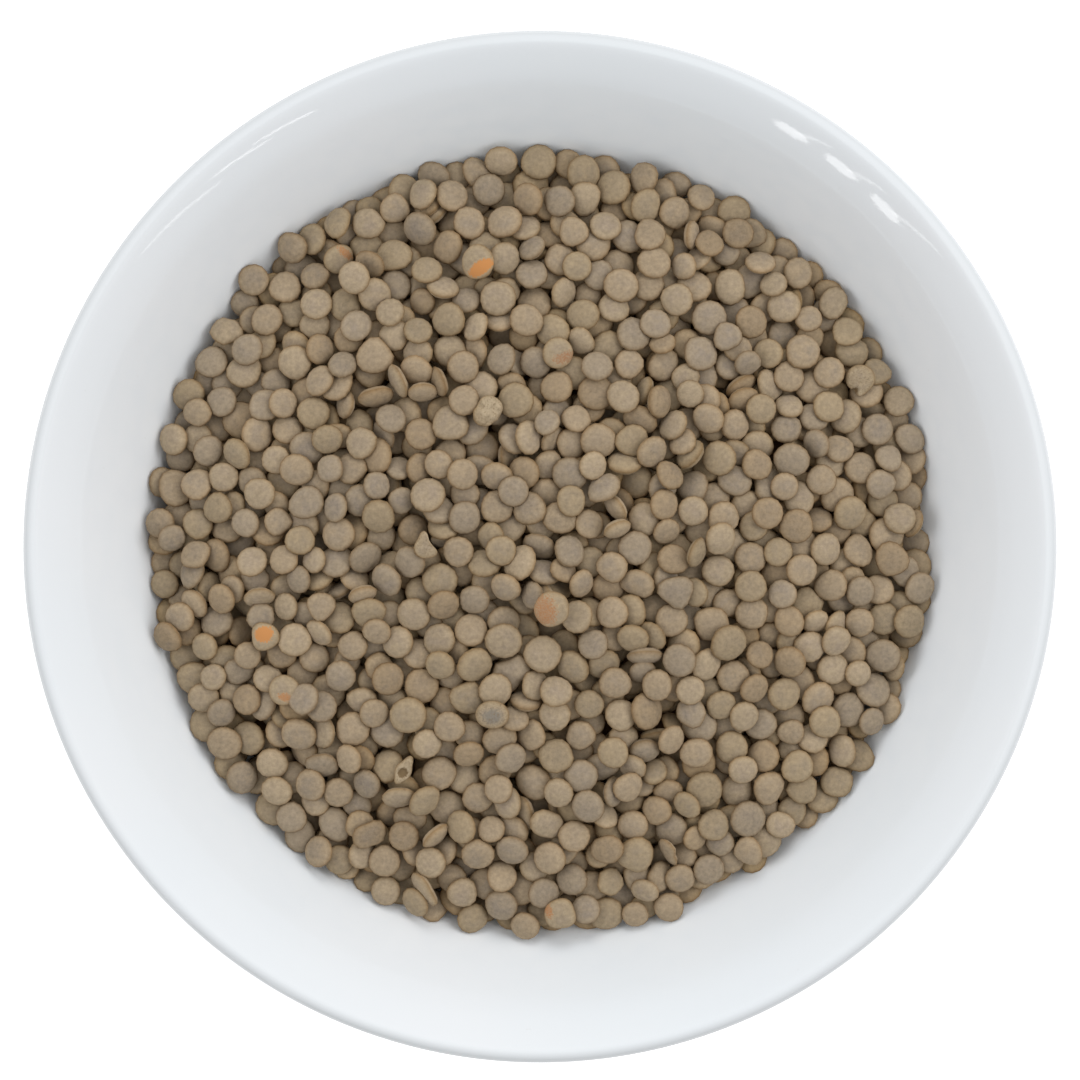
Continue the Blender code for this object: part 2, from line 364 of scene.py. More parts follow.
lentil = {
    "diameter": 4.85 * mm,
    "spread": 0.075,         # standard deviation of the diameter, over the diameter
    "limits": (0.84, 1.17),  # of a lentil's diameter, over the usual one
    "flatness": 0.44,        # thickness over diameter
    "flatSpread": 0.04,
    "fullness": 0.55,        # exponent of the face's curve: lower is flatter with a rounder rim
    "steepShare": 0.06,
    "steep": (math.radians(38), math.radians(72)),
    "around": 14,
    "rings": ((0.45, 0.75, 0.93), (0.8,)),   # shares of the radius with points, on top and underneath
    "waves": ((2, 0.035), (3, 0.022), (4, 0.012), (5, 0.008)),   # of the outline, with their sizes
    "roughness": (0.6, 0.45),   # of each outline: the least, and the mean of what comes on top
}


def insideHeight(radius):
    # height of the bowl's inner face: flat floor, well, straight wall, then the flare's chord
    _, _, edge, well = bowlCentres()
    across = np.clip(radius - well[0], 0, bowl["wellCurve"] * math.sin(bowl["lowerSlope"]))
    curve = well[1] - np.sqrt(bowl["wellCurve"] ** 2 - across ** 2)
    beyond = np.maximum(radius - well[0] - across, 0)
    wall = curve + beyond * math.tan(bowl["lowerSlope"])
    return np.where(radius < edge[0], wall, edge[1] + (radius - edge[0]) * math.tan(bowl["flareSlope"]))


def moundHeight(x, y):
    # the solid's mound: it falls off as the square of the distance from the middle
    fromMiddle = (x ** 2 + y ** 2) / heap["radius"] ** 2
    return insideHeight(np.array(heap["radius"])) + heap["rise"] * (1 - fromMiddle)


def unevenHeight(x, y, rng):
    # a few slow waves, each a cosine along a random direction with a random length and phase
    total = np.zeros_like(x)
    for _ in range(heap["waves"]):
        heading, phase = rng.uniform(0, turn, 2)
        length = rng.uniform(*heap["waveLengths"]) * mm
        total += np.cos(turn * (x * math.cos(heading) + y * math.sin(heading)) / length + phase)
    return heap["unevenness"] * total / math.sqrt(heap["waves"])


def lensHalf(share, thickness):
    # half the thickness of a lens at this squared share of its radius
    return thickness / 2 * np.clip(1 - share, 0, 1) ** lentil["fullness"]


class HeightMap:
    # the highest surface so far over a square grid of cells, and the room left under the heap's surface
    def __init__(self, rng):
        self.count = int(2 * heap["reach"] / heap["cell"]) + 1
        self.axis = np.linspace(-heap["reach"], heap["reach"], self.count)
        x, y = np.meshgrid(self.axis, self.axis, indexing="ij")
        radius = np.hypot(x, y)
        wall = insideHeight(radius) + heap["press"]
        mound = moundHeight(x, y)
        self.bottom = np.maximum(wall, mound - heap["depth"])
        self.height = self.bottom.copy()
        self.target = mound + heap["top"] + unevenHeight(x, y, rng)
        edge = heap["radius"] + heap["overhang"] - heap["ovalness"] * np.cos(2 * np.arctan2(y, x))
        self.open = (wall < self.target) & (radius < edge)

    def window(self, x, y, radius):
        low = np.searchsorted(self.axis, [x - radius, y - radius])
        high = np.searchsorted(self.axis, [x + radius, y + radius])
        return slice(low[0], high[0]), slice(low[1], high[1])

    def room(self, block):
        # mean depth below the heap's surface in square blocks of cells
        blocks = self.count // block
        used = blocks * block
        depth = np.where(self.open, self.target - self.height, -1.0)[:used, :used]
        return depth.reshape(blocks, block, blocks, block).mean((1, 3))

    def rest(self, x, y, radius, thickness, slopes):
        # for each slope (gx, gy), the least height of the middle that keeps the lens over the map
        spot = self.window(x, y, radius)
        dx = (self.axis[spot[0]] - x)[:, None] + 0 * self.axis[spot[1]][None, :]
        dy = (self.axis[spot[1]] - y)[None, :] + 0 * dx
        inside = dx ** 2 + dy ** 2 < radius ** 2
        dx, dy, under = dx[inside], dy[inside], self.height[spot][inside]
        along = slopes[:, :1] * dx + slopes[:, 1:] * dy
        share = (dx ** 2 + dy ** 2 + along ** 2) / radius ** 2
        tall = np.sqrt(1 + (slopes ** 2).sum(1))[:, None]
        need = under - along + lensHalf(share, thickness) * tall
        return np.where(share < 1, need, -1.0).max(1)

    def settle(self, x, y, radius, thickness, steep, rng, lieFlat=heap["lieFlat"]):
        # tries slopes on a coarse grid, then on finer ones round the best; gives cost, height and slope
        if steep is not None:
            heading = rng.uniform(0, turn, search["headings"])
            slopes = math.tan(steep) * np.stack([np.cos(heading), np.sin(heading)], 1)
            rest = self.rest(x, y, radius, thickness, slopes)
            best = rest.argmin()
            return rest[best], rest[best], slopes[best]
        middle, width = np.zeros(2), search["widest"]
        for _ in range(search["rounds"]):
            steps = np.linspace(-width, width, search["grid"])
            slopes = middle + np.stack(np.meshgrid(steps, steps), -1).reshape(-1, 2)
            rest = self.rest(x, y, radius, thickness, slopes)
            cost = rest + lieFlat * radius * (slopes ** 2).sum(1)
            best = cost.argmin()
            middle = slopes[best]
            width *= search["narrowing"]
        return cost[best], rest[best], middle

    def lay(self, x, y, height, slopeX, slopeY, radius, thickness):
        # raises the map to the top of a settled lens
        spot = self.window(x, y, radius)
        dx = (self.axis[spot[0]] - x)[:, None]
        dy = (self.axis[spot[1]] - y)[None, :]
        along = slopeX * dx + slopeY * dy
        share = (dx ** 2 + dy ** 2 + along ** 2) / radius ** 2
        top = height + along + lensHalf(share, thickness) * math.sqrt(1 + slopeX ** 2 + slopeY ** 2)
        before = self.height[spot]
        self.height[spot] = np.where((share < 1) & (top > before), top, before)

    def clear(self, seeds, place, reach):
        # takes away the topmost lens at a place, and makes the map again from the others
        near = np.hypot(*(seeds[:, :2] - place).T) < reach
        if near.any():
            high = np.where(near, seeds[:, 2], -1).argmax()
            seeds = np.delete(seeds, high, 0)
        self.height = self.bottom.copy()
        for one in seeds:
            self.lay(*one)
        return seeds


def fillHeap(rng):
    # layer by layer, each lentil drops close beside those before it wherever the heap lies deep enough,
    # and rolls to the lowest place nearby
    field = HeightMap(rng)
    block = heap["block"]
    middles = (np.arange(field.count // block) + 0.5) * block * heap["cell"] - heap["reach"]
    seeds = []
    for layer in range(heap["layers"]):
        fromLast = heap["layers"] - 1 - layer
        least = (heap["holes"], heap["topFilled"], heap["filled"])[min(fromLast, 2)]
        # from each patch to the layer's nearest lentil, over the spacing
        gap = np.full((len(middles), len(middles)), search["untouched"])
        before = len(seeds)
        while True:
            room = field.room(block)
            ready = np.argwhere((gap >= 1) & (room > least))
            if not len(ready):
                break
            wait = np.minimum(gap[ready[:, 0], ready[:, 1]], search["farthest"])
            wait = wait + heap["disorder"] * rng.random(len(ready))
            spot = middles[ready[wait.argmin()]]
            size = np.clip(rng.normal(1, lentil["spread"]), *lentil["limits"])
            radius = lentil["diameter"] / 2 * size
            thickness = 2 * radius * rng.normal(lentil["flatness"], lentil["flatSpread"])
            steep = rng.uniform(*lentil["steep"]) if rng.random() < lentil["steepShare"] else None
            tries = []
            for place in spot + rng.normal(0, heap["roll"] * radius, (search["places"], 2)):
                cost, height, slope = field.settle(*place, radius, thickness, steep, rng)
                tries.append((cost - moundHeight(*place), height, slope, place))
            _, height, slope, place = min(tries, key=lambda one: one[0])
            if height > moundHeight(*place) + heap["highest"]:
                # nothing else of this layer is tried there
                away = np.hypot(middles[:, None] - spot[0], middles[None, :] - spot[1])
                gap[away < search["skipped"] * radius] = 0
                continue
            seed = (*place, height - heap["press"], *slope, radius, thickness)
            field.lay(*seed)
            seeds.append(seed)
            apart = heap["spacing"] * 2 * radius * (math.cos(steep) if steep else 1)
            away = np.hypot(middles[:, None] - place[0], middles[None, :] - place[1])
            gap = np.minimum(gap, away / apart)
        print("layer", layer + 1, "has", len(seeds) - before, "lentils")
    return field, np.array(seeds)


# Lentil meshes: many lenses in one piece, each with its own outline, lean and place

def lensRows(rings):
    # shares of the radius from the top's middle out to the rim and back underneath, and the side of each
    top, under = rings
    shares = np.array([*top, 1.0, *under[::-1]])
    sides = np.array([1] * len(top) + [0] + [-1] * len(under))
    return shares, sides


def roughOutline(count, around, rng, strength=1.0):
    # R(u) = 1 + a few cosines of whole turns, most of them slight and some marked
    angle = np.arange(around) * turn / around
    outline = np.ones((count, around))
    least, more = lentil["roughness"]
    marked = strength * (least + rng.exponential(more, (count, 1)))
    for waves, size in lentil["waves"]:
        phase = rng.uniform(0, turn, (count, 1))
        outline += marked * rng.normal(0, size, (count, 1)) * np.cos(waves * angle + phase)
    return outline


def lensPoints(seeds, spins, outline, rings, dents=0.0):
    # in a lens's own frame a point is (r R s cos u, r R s sin u, t h(s)): r is the radius, R the outline,
    # s the share, t the thickness and h the curve; then the frame is spun, leaned and moved
    around = outline.shape[1]
    angle = np.arange(around) * turn / around
    shares, sides = lensRows(rings)
    radius, thickness = seeds[:, 5], seeds[:, 6]
    rim = (radius[:, None] * outline)[:, None, :] * shares[None, :, None]
    curve = (lensHalf(shares ** 2, 1.0) * sides)[None, :, None] + dents + 0 * rim
    rows = np.stack([rim * np.cos(angle), rim * np.sin(angle), thickness[:, None, None] * curve], -1)
    poles = np.zeros((len(seeds), 2, 3))
    poles[:, 0, 2] = rows[:, 0, :, 2].mean(1) + thickness * (0.5 - lensHalf(shares[0] ** 2, 1.0))
    poles[:, 1, 2] = rows[:, -1, :, 2].mean(1) - thickness * (0.5 - lensHalf(shares[-1] ** 2, 1.0))
    local = np.concatenate([rows.reshape(len(seeds), -1, 3), poles], 1)
    slope = seeds[:, 3:5]
    normal = np.concatenate([-slope, np.ones((len(seeds), 1))], 1)
    normal /= np.linalg.norm(normal, axis=1)[:, None]
    heading = np.stack([np.cos(spins), np.sin(spins)], 1)
    first = np.concatenate([heading, (slope * heading).sum(1)[:, None]], 1)
    first /= np.linalg.norm(first, axis=1)[:, None]
    axes = np.stack([first, np.cross(normal, first), normal], 1)
    return np.einsum("nvi,nij->nvj", local, axes) + seeds[:, None, :3]


def lensFaces(count, rows, around):
    # one lens's quads and end triangles, repeated with an offset for every lens
    here = np.arange(around)
    after = (here + 1) % around
    top = np.full(around, rows * around)
    last = (rows - 1) * around
    topEnd = np.stack([here, after, top], 1)
    underEnd = np.stack([last + after, last + here, top + 1], 1)
    ends = np.concatenate([topEnd, underEnd])
    offset = np.arange(count)[:, None, None] * (rows * around + 2)
    quads = gridFaces(rows, around)
    return [(quads + offset).reshape(-1, 4), (ends + offset).reshape(-1, 3)], quads, ends


def lensBakeMap(count, rings, around, quads, ends):
    # top and underside of each lens lie flat as two discs, each in its own square cell
    shares, _ = lensRows(rings)
    angle = np.arange(around) * turn / around
    disc = np.stack([shares[:, None] * np.cos(angle), shares[:, None] * np.sin(angle)], -1).reshape(-1, 2)
    disc = np.concatenate([disc, np.zeros((2, 2))])
    under = [np.arange(len(quads)) // around >= len(rings[0]), np.arange(len(ends)) >= around]
    cells = math.ceil(math.sqrt(2 * count))
    size = 0.46   # of a disc in its cell, a little under half
    maps = []
    for faces, below in zip((quads, ends), under):
        cell = 2 * np.arange(count)[:, None] + below[None, :]
        corner = np.stack([cell % cells, cell // cells], -1)[:, :, None, :]
        maps.append(((corner + 0.5 + size * disc[faces][None]) / cells).reshape(-1, 2))
    return np.concatenate(maps)


def lensPiece(name, seeds, spins, outline, rings, finish, dents=0.0, **values):
    # values holds a number for each lens, or one for each of its points
    points = lensPoints(seeds, spins, outline, rings, dents)
    around = outline.shape[1]
    shares, _ = lensRows(rings)
    faces, quads, ends = lensFaces(len(seeds), len(shares), around)
    bakeMap = lensBakeMap(len(seeds), rings, around, quads, ends)
    piece = meshObject(name, points.reshape(-1, 3), faces, finish, bakeMap)
    each = points.shape[1]
    values["share"] = np.tile(np.concatenate([np.repeat(shares, around), [0, 0]]), len(seeds))
    for label, numbers in values.items():
        numbers = np.repeat(numbers, each) if len(numbers) == len(seeds) else numbers
        attribute = piece.data.attributes.new(label, "FLOAT", "POINT")
        attribute.data.foreach_set("value", np.ascontiguousarray(numbers, np.float32))
    print(name, "has", len(seeds), "lentils")
    return piece


# Lentil skins: paler towards the rim, greyer at the heart, with painted shade at the very rim and browner
# painted shade where they lie deep

kinds = {
    # share of the heap, colour towards the rim, colour of the heart
    "lentilsTan": (0.30, (164, 145, 119), (151, 136, 117)),
    "lentilsSand": (0.22, (167, 149, 123), (156, 140, 121)),
    "lentilsKhaki": (0.20, (158, 140, 113), (147, 132, 111)),
    "lentilsGrey": (0.18, (156, 140, 118), (144, 131, 116)),
    "lentilsBrown": (0.10, (156, 136, 109), (143, 127, 107)),
}

skin = {
    "gloss": 0.25,
    "roughness": (0.62, 0.78),
    "rimShade": (222, 207, 184),        # painted shade: multiplies the colour at the very rim, where the face turns away from the light
    "deepShade": (1.0, 0.96, 0.87, 1),   # painted shade: makes the lowest lentils browner and darker
    "relief": 0.06 * mm,
    "grain": 1700,
    "cloud": 560,
}


def skinColour(finish, edge, heart):
    # blotchy heart inside a paler edge, then tone, grain and a painted highlight near the rim, painted
    # shade at the rim and painted shade of depth multiply it
    share = finish.attribute("share")
    cloud = finish.noise(skin["cloud"], detail=3)
    grain = finish.noise(skin["grain"], detail=4, roughness=0.65)
    patch = finish.ramp(cloud, (0.38, 0.15), (0.60, 1.0)) * (finish.attribute("greyness") * 0.7 + 0.3)
    heartMask = finish.ramp(share, (0.45, 1.0), (0.9, 0.0)) * patch
    colour = finish.mix(heartMask, srgb(*edge), srgb(*heart))
    # painted highlight: a pale band just inside the rim
    rimHighlight = finish.ramp(share, (0.62, 0.0), (0.84, 0.07), (0.95, 0.03), (1.0, 0.0))
    tone = finish.attribute("tone") * 0.16 + grain * 0.9 + rimHighlight + 0.475
    colour = finish.mix(1.0, colour, tone, "MULTIPLY")
    # painted shade: the colour browns and darkens towards the very rim
    rim = finish.ramp(share, (0.74, 0.0), (0.92, 0.35), (1.0, 1.0))
    colour = finish.mix(rim, colour, finish.mix(1.0, colour, srgb(*skin["rimShade"]), "MULTIPLY"))
    # painted shade: lentils that lie deep under others turn browner
    deep = finish.mix(1.0, colour, skin["deepShade"], "MULTIPLY")
    return finish.mix(finish.attribute("depth"), colour, deep), grain, cloud


def skinRelief(grain, cloud):
    # the fine unevenness of every skin, for its bump
    return grain * 0.6 + cloud * 0.4


def skinFinish(name, edge, heart):
    finish = Finish(name + "Skin", Specular_IOR_Level=skin["gloss"])
    colour, grain, cloud = skinColour(finish, edge, heart)
    low, high = skin["roughness"]
    finish.feed(finish.shader, {"Base Color": colour, "Roughness": cloud * (high - low) + low})
    finish.bump(skinRelief(grain, cloud), 0.3, skin["relief"])
    return finish


# Odd lentils: peeled to the orange seed, split, shrunken or blotched, where the photograph has them

odd = {
    "around": 48,
    "lieFlat": 1.1,
    "clears": 0.55,                                # over the diameter: how near the replaced lentil lies
    "skin": ((164, 146, 119), (151, 136, 117)),    # colour towards the rim, colour of the heart
    "covers": ((-27.2, 39.5), (-34.8, -22.4)),     # places in millimetres
    "rings": ((0.10, 0.20, 0.30, 0.40, 0.50, 0.60, 0.70, 0.79, 0.87, 0.935, 0.98), (0.5, 0.8, 0.95)),
}

# place (x, y) in millimetres, size, then the patch of bare seed: middle, half sizes, turn and dullness
peeled = {
    "brightBand": ((-9.1, 41.8), 1.05, (0.26, -0.34), (0.84, 0.38), 33, 0.0),
    "brightCap": ((-40.5, -13.2), 0.88, (0.0, 0.20), (0.66, 0.56), 10, 0.05),
    "dullFace": ((1.7, -8.7), 1.08, (-0.36, -0.05), (0.60, 0.86), 8, 0.8),
    "dullSmear": ((2.6, 28.5), 0.95, (0.38, -0.30), (0.70, 0.36), 15, 1.0),
    "tornSide": ((-29.7, 42.3), 0.92, (0.40, 0.45), (0.62, 0.26), -40, 0.6),
    "tornLow": ((-37.7, -21.2), 0.95, (0.10, -0.45), (0.46, 0.26), -10, 0.6),
    "chippedRim": ((3.0, -54.7), 0.98, (-0.72, 0.22), (0.26, 0.44), 12, 0.7),
}

bareSeed = {
    "roughness": 0.8,      # of the outline, over an ordinary lentil's
    "rise": 0.8,           # of the bare value from 0.5 at the patch's edge to its middle
    "sunken": 0.03,        # of the seed under the skin, over the thickness
    "stepFrom": 0.45,      # bare value at which the step down begins
    "stepSlope": 8,
}


def peeledFinish():
    # the orange seed shows inside the patch, a torn pale edge of skin round it
    finish = Finish("peeledSkin", Specular_IOR_Level=skin["gloss"])
    colour, grain, cloud = skinColour(finish, *odd["skin"])
    ragged = finish.noise(3600, detail=3, roughness=0.8)
    dull = finish.attribute("dullness")
    inside = finish.attribute("bare") + (ragged - 0.5) * (dull * 1.8 + 1.0)
    pale = finish.ramp(inside, (0.30, 0.0), (0.46, 0.5), (0.56, 0.0))
    colour = finish.mix(pale, colour, srgb(182, 162, 130))
    seed = finish.mix(dull, srgb(200, 139, 83), srgb(163, 119, 85))
    speckle = finish.ramp(finish.noise(5200, detail=2, roughness=0.8), (0.44, 0.0), (0.56, 1.0)) * dull
    flesh = finish.mix(speckle * 0.75, seed, colour)
    finish.feed(finish.shader, {
        "Base Color": finish.mix(finish.ramp(inside, (0.47, 0.0), (0.55, 1.0)), colour, flesh),
        "Roughness": cloud * 0.16 + 0.6,
    })
    finish.bump(skinRelief(grain, cloud) - inside * 0.5, 0.4, skin["relief"])
    return finish


def discPoints(rings, around, outline):
    # each point's place on a disc of radius 1, seen from above
    shares, sides = lensRows(rings)
    angle = np.arange(around) * turn / around
    x = outline[:, None, :] * shares[None, :, None] * np.cos(angle)
    y = outline[:, None, :] * shares[None, :, None] * np.sin(angle)
    return x, y, sides[None, :, None]


def ellipseDepth(x, y, middle, half, degrees):
    # 1 at the middle of a turned ellipse, 0 at its edge and less outside
    c, s = math.cos(math.radians(degrees)), math.sin(math.radians(degrees))
    across = ((x - middle[0]) * c + (y - middle[1]) * s) / half[0]
    along = ((y - middle[1]) * c - (x - middle[0]) * s) / half[1]
    return 1 - np.hypot(across, along)


def withPoles(values):
    # the numbers of the rings, then those of the top's and the underside's middle
    ends = np.stack([values[:, 0].mean(1), values[:, -1].mean(1)], 1)
    return np.concatenate([values.reshape(len(values), -1), ends], 1).ravel()


def setOdd(field, seeds, items, rng):
    # each odd lentil takes the place of the topmost one there and lies free on the rest
    placed = []
    for place, size in items:
        place = np.array(place) * mm
        seeds = field.clear(seeds, place, odd["clears"] * lentil["diameter"])
        radius = size * lentil["diameter"] / 2
        thickness = 2 * radius * lentil["flatness"]
        _, height, slope = field.settle(*place, radius, thickness, None, rng, odd["lieFlat"])
        placed.append((*place, height - heap["press"], *slope, radius, thickness))
        field.lay(*placed[-1])
    return seeds, np.array(placed)


def layCovers(field, seeds, rng):
    # plain lentils that hide part of some odd ones
    for place in np.array(odd["covers"]) * mm:
        radius, thickness = lentil["diameter"] / 2, lentil["diameter"] * lentil["flatness"]
        _, height, slope = field.settle(*place, radius, thickness, None, rng)
        seed = (*place, height - heap["press"], *slope, radius, thickness)
        field.lay(*seed)
        seeds = np.concatenate([seeds, [seed]])
    return seeds


def makePeeled(field, seeds, rng):
    seeds, mine = setOdd(field, seeds, [one[:2] for one in peeled.values()], rng)
    outline = roughOutline(len(mine), odd["around"], rng, bareSeed["roughness"])
    x, y, side = discPoints(odd["rings"], odd["around"], outline)
    patches = [ellipseDepth(x[i], y[i], *one[2:5]) for i, one in enumerate(peeled.values())]
    inside = np.where(side >= 0, np.clip(0.5 + bareSeed["rise"] * np.stack(patches), 0, 1), 0.0)
    step = (inside - bareSeed["stepFrom"]) * bareSeed["stepSlope"]
    dents = -bareSeed["sunken"] * np.clip(step, 0, 1)
    lensPiece("lentilsPeeled", mine, np.zeros(len(mine)), outline, odd["rings"], peeledFinish(), dents,
              bare=withPoles(inside), dullness=np.array([one[5] for one in peeled.values()]),
              tone=np.full(len(mine), 0.55), greyness=np.full(len(mine), 0.5), depth=np.zeros(len(mine)))
    return seeds


# place, size, the outline's radius every 30 degrees from the picture's right, then patches, each with its
# middle, half sizes and turn: hollows are sunken and darkened with painted shade, pale ones are broken
# edges, blotches are grey
broken = {
    "hollowHusk": ((-20.1, -32.9), 1.12,
                   (0.46, 0.54, 0.98, 0.52, 0.44, 0.45, 0.48, 0.54, 0.92, 0.58, 0.50, 0.47),
                   {"hollow": ((-0.06, -0.14), (0.32, 0.34), -18),
                    "pale": ((-0.06, -0.14), (0.46, 0.56), -18)}),
    "shrunken": ((-7.7, 20.1), 1.06,
                 (0.94, 0.95, 0.90, 0.88, 0.82, 0.58, 0.84, 0.96, 0.98, 0.90, 0.78, 0.82),
                 {"pale": ((0.15, 0.15), (0.9, 0.9), 0)}),
    "splitWedge": ((-16.9, 0.2), 1.02,
                   (0.50, 0.42, 0.48, 1.05, 0.62, 0.58, 0.64, 0.70, 0.70, 0.68, 0.74, 0.92),
                   {"pale": ((0.40, 0.32), (0.78, 0.16), -55)}),
    "brokenTip": ((47.1, 24.4), 1.0,
                  (0.95, 1.0, 1.0, 0.98, 0.95, 0.92, 0.85, 0.78, 0.70, 1.02, 0.85, 0.85),
                  {"hollow": ((-0.30, -0.62), (0.26, 0.20), 30),
                   "pale": ((0.05, -0.78), (0.16, 0.30), 0)}),
    "blotched": ((-7.0, -24.5), 1.02,
                 (1.03, 0.98, 0.88, 0.85, 0.88, 0.98, 1.02, 0.98, 0.85, 0.82, 0.86, 0.97),
                 {"blotch": ((0.05, -0.05), (0.85, 0.62), 0)}),
}

# dents and swellings of the broken ones, over the thickness
bends = {
    "hollow": 0.38,
    "hollowSlope": 2.5,
    # size of each pattern, then x, y and phase in the two cosines that make it
    "wrinkles": ((0.12, (7, 2, 1), (-2, 6, 0)), (0.055, (13, -4, 0), (3, 12, 2))),
    "valley": 0.35,
    "valleyPatch": ((-0.5, 0.25), (0.8, 0.25), -35),
    "splitRise": 0.45,
    "splitTowards": (0.8, 0.55),
    "smoothing": 2,        # passes over an outline
}


def brokenFinish():
    # the common skin, then grey blotches, pale broken edges and painted shade in the sunken hollows over
    # it
    finish = Finish("brokenSkin", Specular_IOR_Level=skin["gloss"])
    colour, grain, cloud = skinColour(finish, *odd["skin"])
    ragged = (finish.noise(3200, detail=3, roughness=0.75) - 0.5) * 1.6
    grey = finish.ramp(finish.attribute("blotch") + ragged, (0.1, 0.0), (0.5, 0.8))
    colour = finish.mix(grey, colour, srgb(128, 123, 115))
    pale = finish.ramp(finish.attribute("pale") + ragged * 0.5, (0.05, 0.0), (0.4, 0.75))
    colour = finish.mix(pale, colour, srgb(186, 168, 140))
    # painted shade: the sunken hollows are darkened
    hollow = finish.ramp(finish.attribute("hollow") + ragged * 0.8, (0.0, 0.0), (0.3, 1.0))
    colour = finish.mix(hollow, colour, srgb(124, 104, 76))
    finish.feed(finish.shader, {"Base Color": colour, "Roughness": cloud * 0.16 + 0.62})
    finish.bump(skinRelief(grain, cloud), 0.4, skin["relief"])
    return finish


def makeBroken(field, seeds, rng):
    # settled as a lens of the outline's mean radius; the heights are bent, never the places
    items = [(one[0], one[1] * np.mean(one[2])) for one in broken.values()]
    seeds, mine = setOdd(field, seeds, items, rng)
    mine[:, 5] = [one[1] * lentil["diameter"] / 2 for one in broken.values()]
    angle = np.arange(odd["around"]) * turn / odd["around"]
    radii = [[*one[2], one[2][0]] for one in broken.values()]
    corners = np.arange(len(radii[0])) * turn / (len(radii[0]) - 1)
    outline = np.stack([np.interp(angle, corners, one) for one in radii])
    for _ in range(bends["smoothing"]):
        outline = outline / 2 + (np.roll(outline, 1, 1) + np.roll(outline, -1, 1)) / 4
    x, y, side = discPoints(odd["rings"], odd["around"], outline)
    patches = {}
    for label in ("hollow", "pale", "blotch"):
        found = [ellipseDepth(x[i], y[i], *one[3][label]) if label in one[3] else np.zeros_like(x[i])
                 for i, one in enumerate(broken.values())]
        patches[label] = np.where(side >= 0, np.clip(np.stack(found), 0, 1), 0.0)
    dents = -bends["hollow"] * np.clip(patches["hollow"] * bends["hollowSlope"], 0, 1)
    names = list(broken)
    wrinkled, split = names.index("shrunken"), names.index("splitWedge")
    wx, wy = x[wrinkled], y[wrinkled]
    for size, (a, b, c), (d, e, f) in bends["wrinkles"]:
        dents[wrinkled] += size * np.cos(a * wx + b * wy + c) * np.cos(d * wx + e * wy + f)
    valley = ellipseDepth(wx, wy, *bends["valleyPatch"])
    dents[wrinkled] -= bends["valley"] * np.clip(valley, 0, 1)
    right, up = bends["splitTowards"]
    dents[split] += bends["splitRise"] * (right * x[split] + up * y[split]) * (side[0] > 0)
    lensPiece("lentilsBroken", mine, np.zeros(len(mine)), outline, odd["rings"], brokenFinish(), dents,
              tone=np.full(len(mine), 0.5), greyness=np.full(len(mine), 0.6), depth=np.zeros(len(mine)),
              **{label: withPoles(one) for label, one in patches.items()})
    return seeds


def makeLentils():
    rng = np.random.default_rng(heap["seed"])
    field, seeds = fillHeap(rng)
    seeds = makePeeled(field, seeds, rng)
    seeds = makeBroken(field, seeds, rng)
    seeds = layCovers(field, seeds, rng)
    shares = np.array([one[0] for one in kinds.values()])
    kind = rng.choice(len(kinds), len(seeds), p=shares / shares.sum())
    cell = np.rint((seeds[:, :2] + heap["reach"]) / heap["cell"]).astype(int)
    # how far each lentil lies under the heap's top, for the painted shade of the deep ones
    ownTop = seeds[:, 2] + seeds[:, 6] / 2 * np.sqrt(1 + (seeds[:, 3:5] ** 2).sum(1))
    depth = np.clip((field.height[cell[:, 0], cell[:, 1]] - ownTop) / heap["shadeCover"], 0, 1)
    for index, (name, (_, edge, heart)) in enumerate(kinds.items()):
        mine = seeds[kind == index]
        count = len(mine)
        outline = roughOutline(count, lentil["around"], rng)
        spins = rng.uniform(0, turn, count)
        finish = skinFinish(name, edge, heart)
        lensPiece(name, mine, spins, outline, lentil["rings"], finish,
                  tone=rng.random(count), greyness=rng.random(count), depth=depth[kind == index])


core = {
    # painted shade: far darker than the lentils, for the shade deep in the heap
    "colours": ((86, 58, 33), (118, 86, 54)),
    "inset": 3 * mm,         # of its edge from the heap's
    "rings": 40,
    "sides": 96,
    "least": 0.4 * mm,       # it is only where its top is higher than this over the bowl
    "clear": 0.35 * mm,      # of its underside over the bowl
}


def makeCore():
    # the body of lentils that lies under the loose ones, coloured dark brown as painted shade deep in the
    # heap
    finish = Finish("shadedCoreLentils", Roughness=0.8)
    dark, light = core["colours"]
    finish.feed(finish.shader, {"Base Color": finish.mix(finish.noise(400), srgb(*dark), srgb(*light))})
    radius = np.linspace(0, heap["radius"] - core["inset"], core["rings"])
    top = moundHeight(radius, 0 * radius) - heap["depth"]
    loose = top > insideHeight(radius) + core["least"]
    radius, top = radius[loose][1:], top[loose][1:]
    under = insideHeight(radius[::-1]) + core["clear"]
    profile = np.concatenate([np.stack([radius, top], 1), np.stack([radius[::-1], under], 1)])
    points, faces = turnedSurface(profile, core["sides"])
    piece = meshObject("lentilCore", points, faces, finish)
    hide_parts("lentils")
    print("core made:", len(points), "points")


# Floor, lights and camera

studio = {
    "cameraDistance": 600 * mm,
    "cameraLean": math.radians(3),   # off straight down, to the side of the picture's top
    "lookAt": (0.0, 1.4 * mm, 48 * mm),
    "lens": 137.7,
    "world": 0.51,
    "floorGlow": 0.50,
    "aim": Vector((0, 0, 45 * mm)),
    "lampDistance": 0.8,
    "floorReach": 1.5,
}

# name: azimuth and elevation in degrees, width and power of the large soft lamps
softLamps = {
    "rightSide": (0, 35, 0.5, 1.72),
    "leftSide": (180, 35, 0.5, 1.68),
    "key": (30, 45, 0.5, 1.06),
    "window": (90, 30, 0.5, 1.72),
}

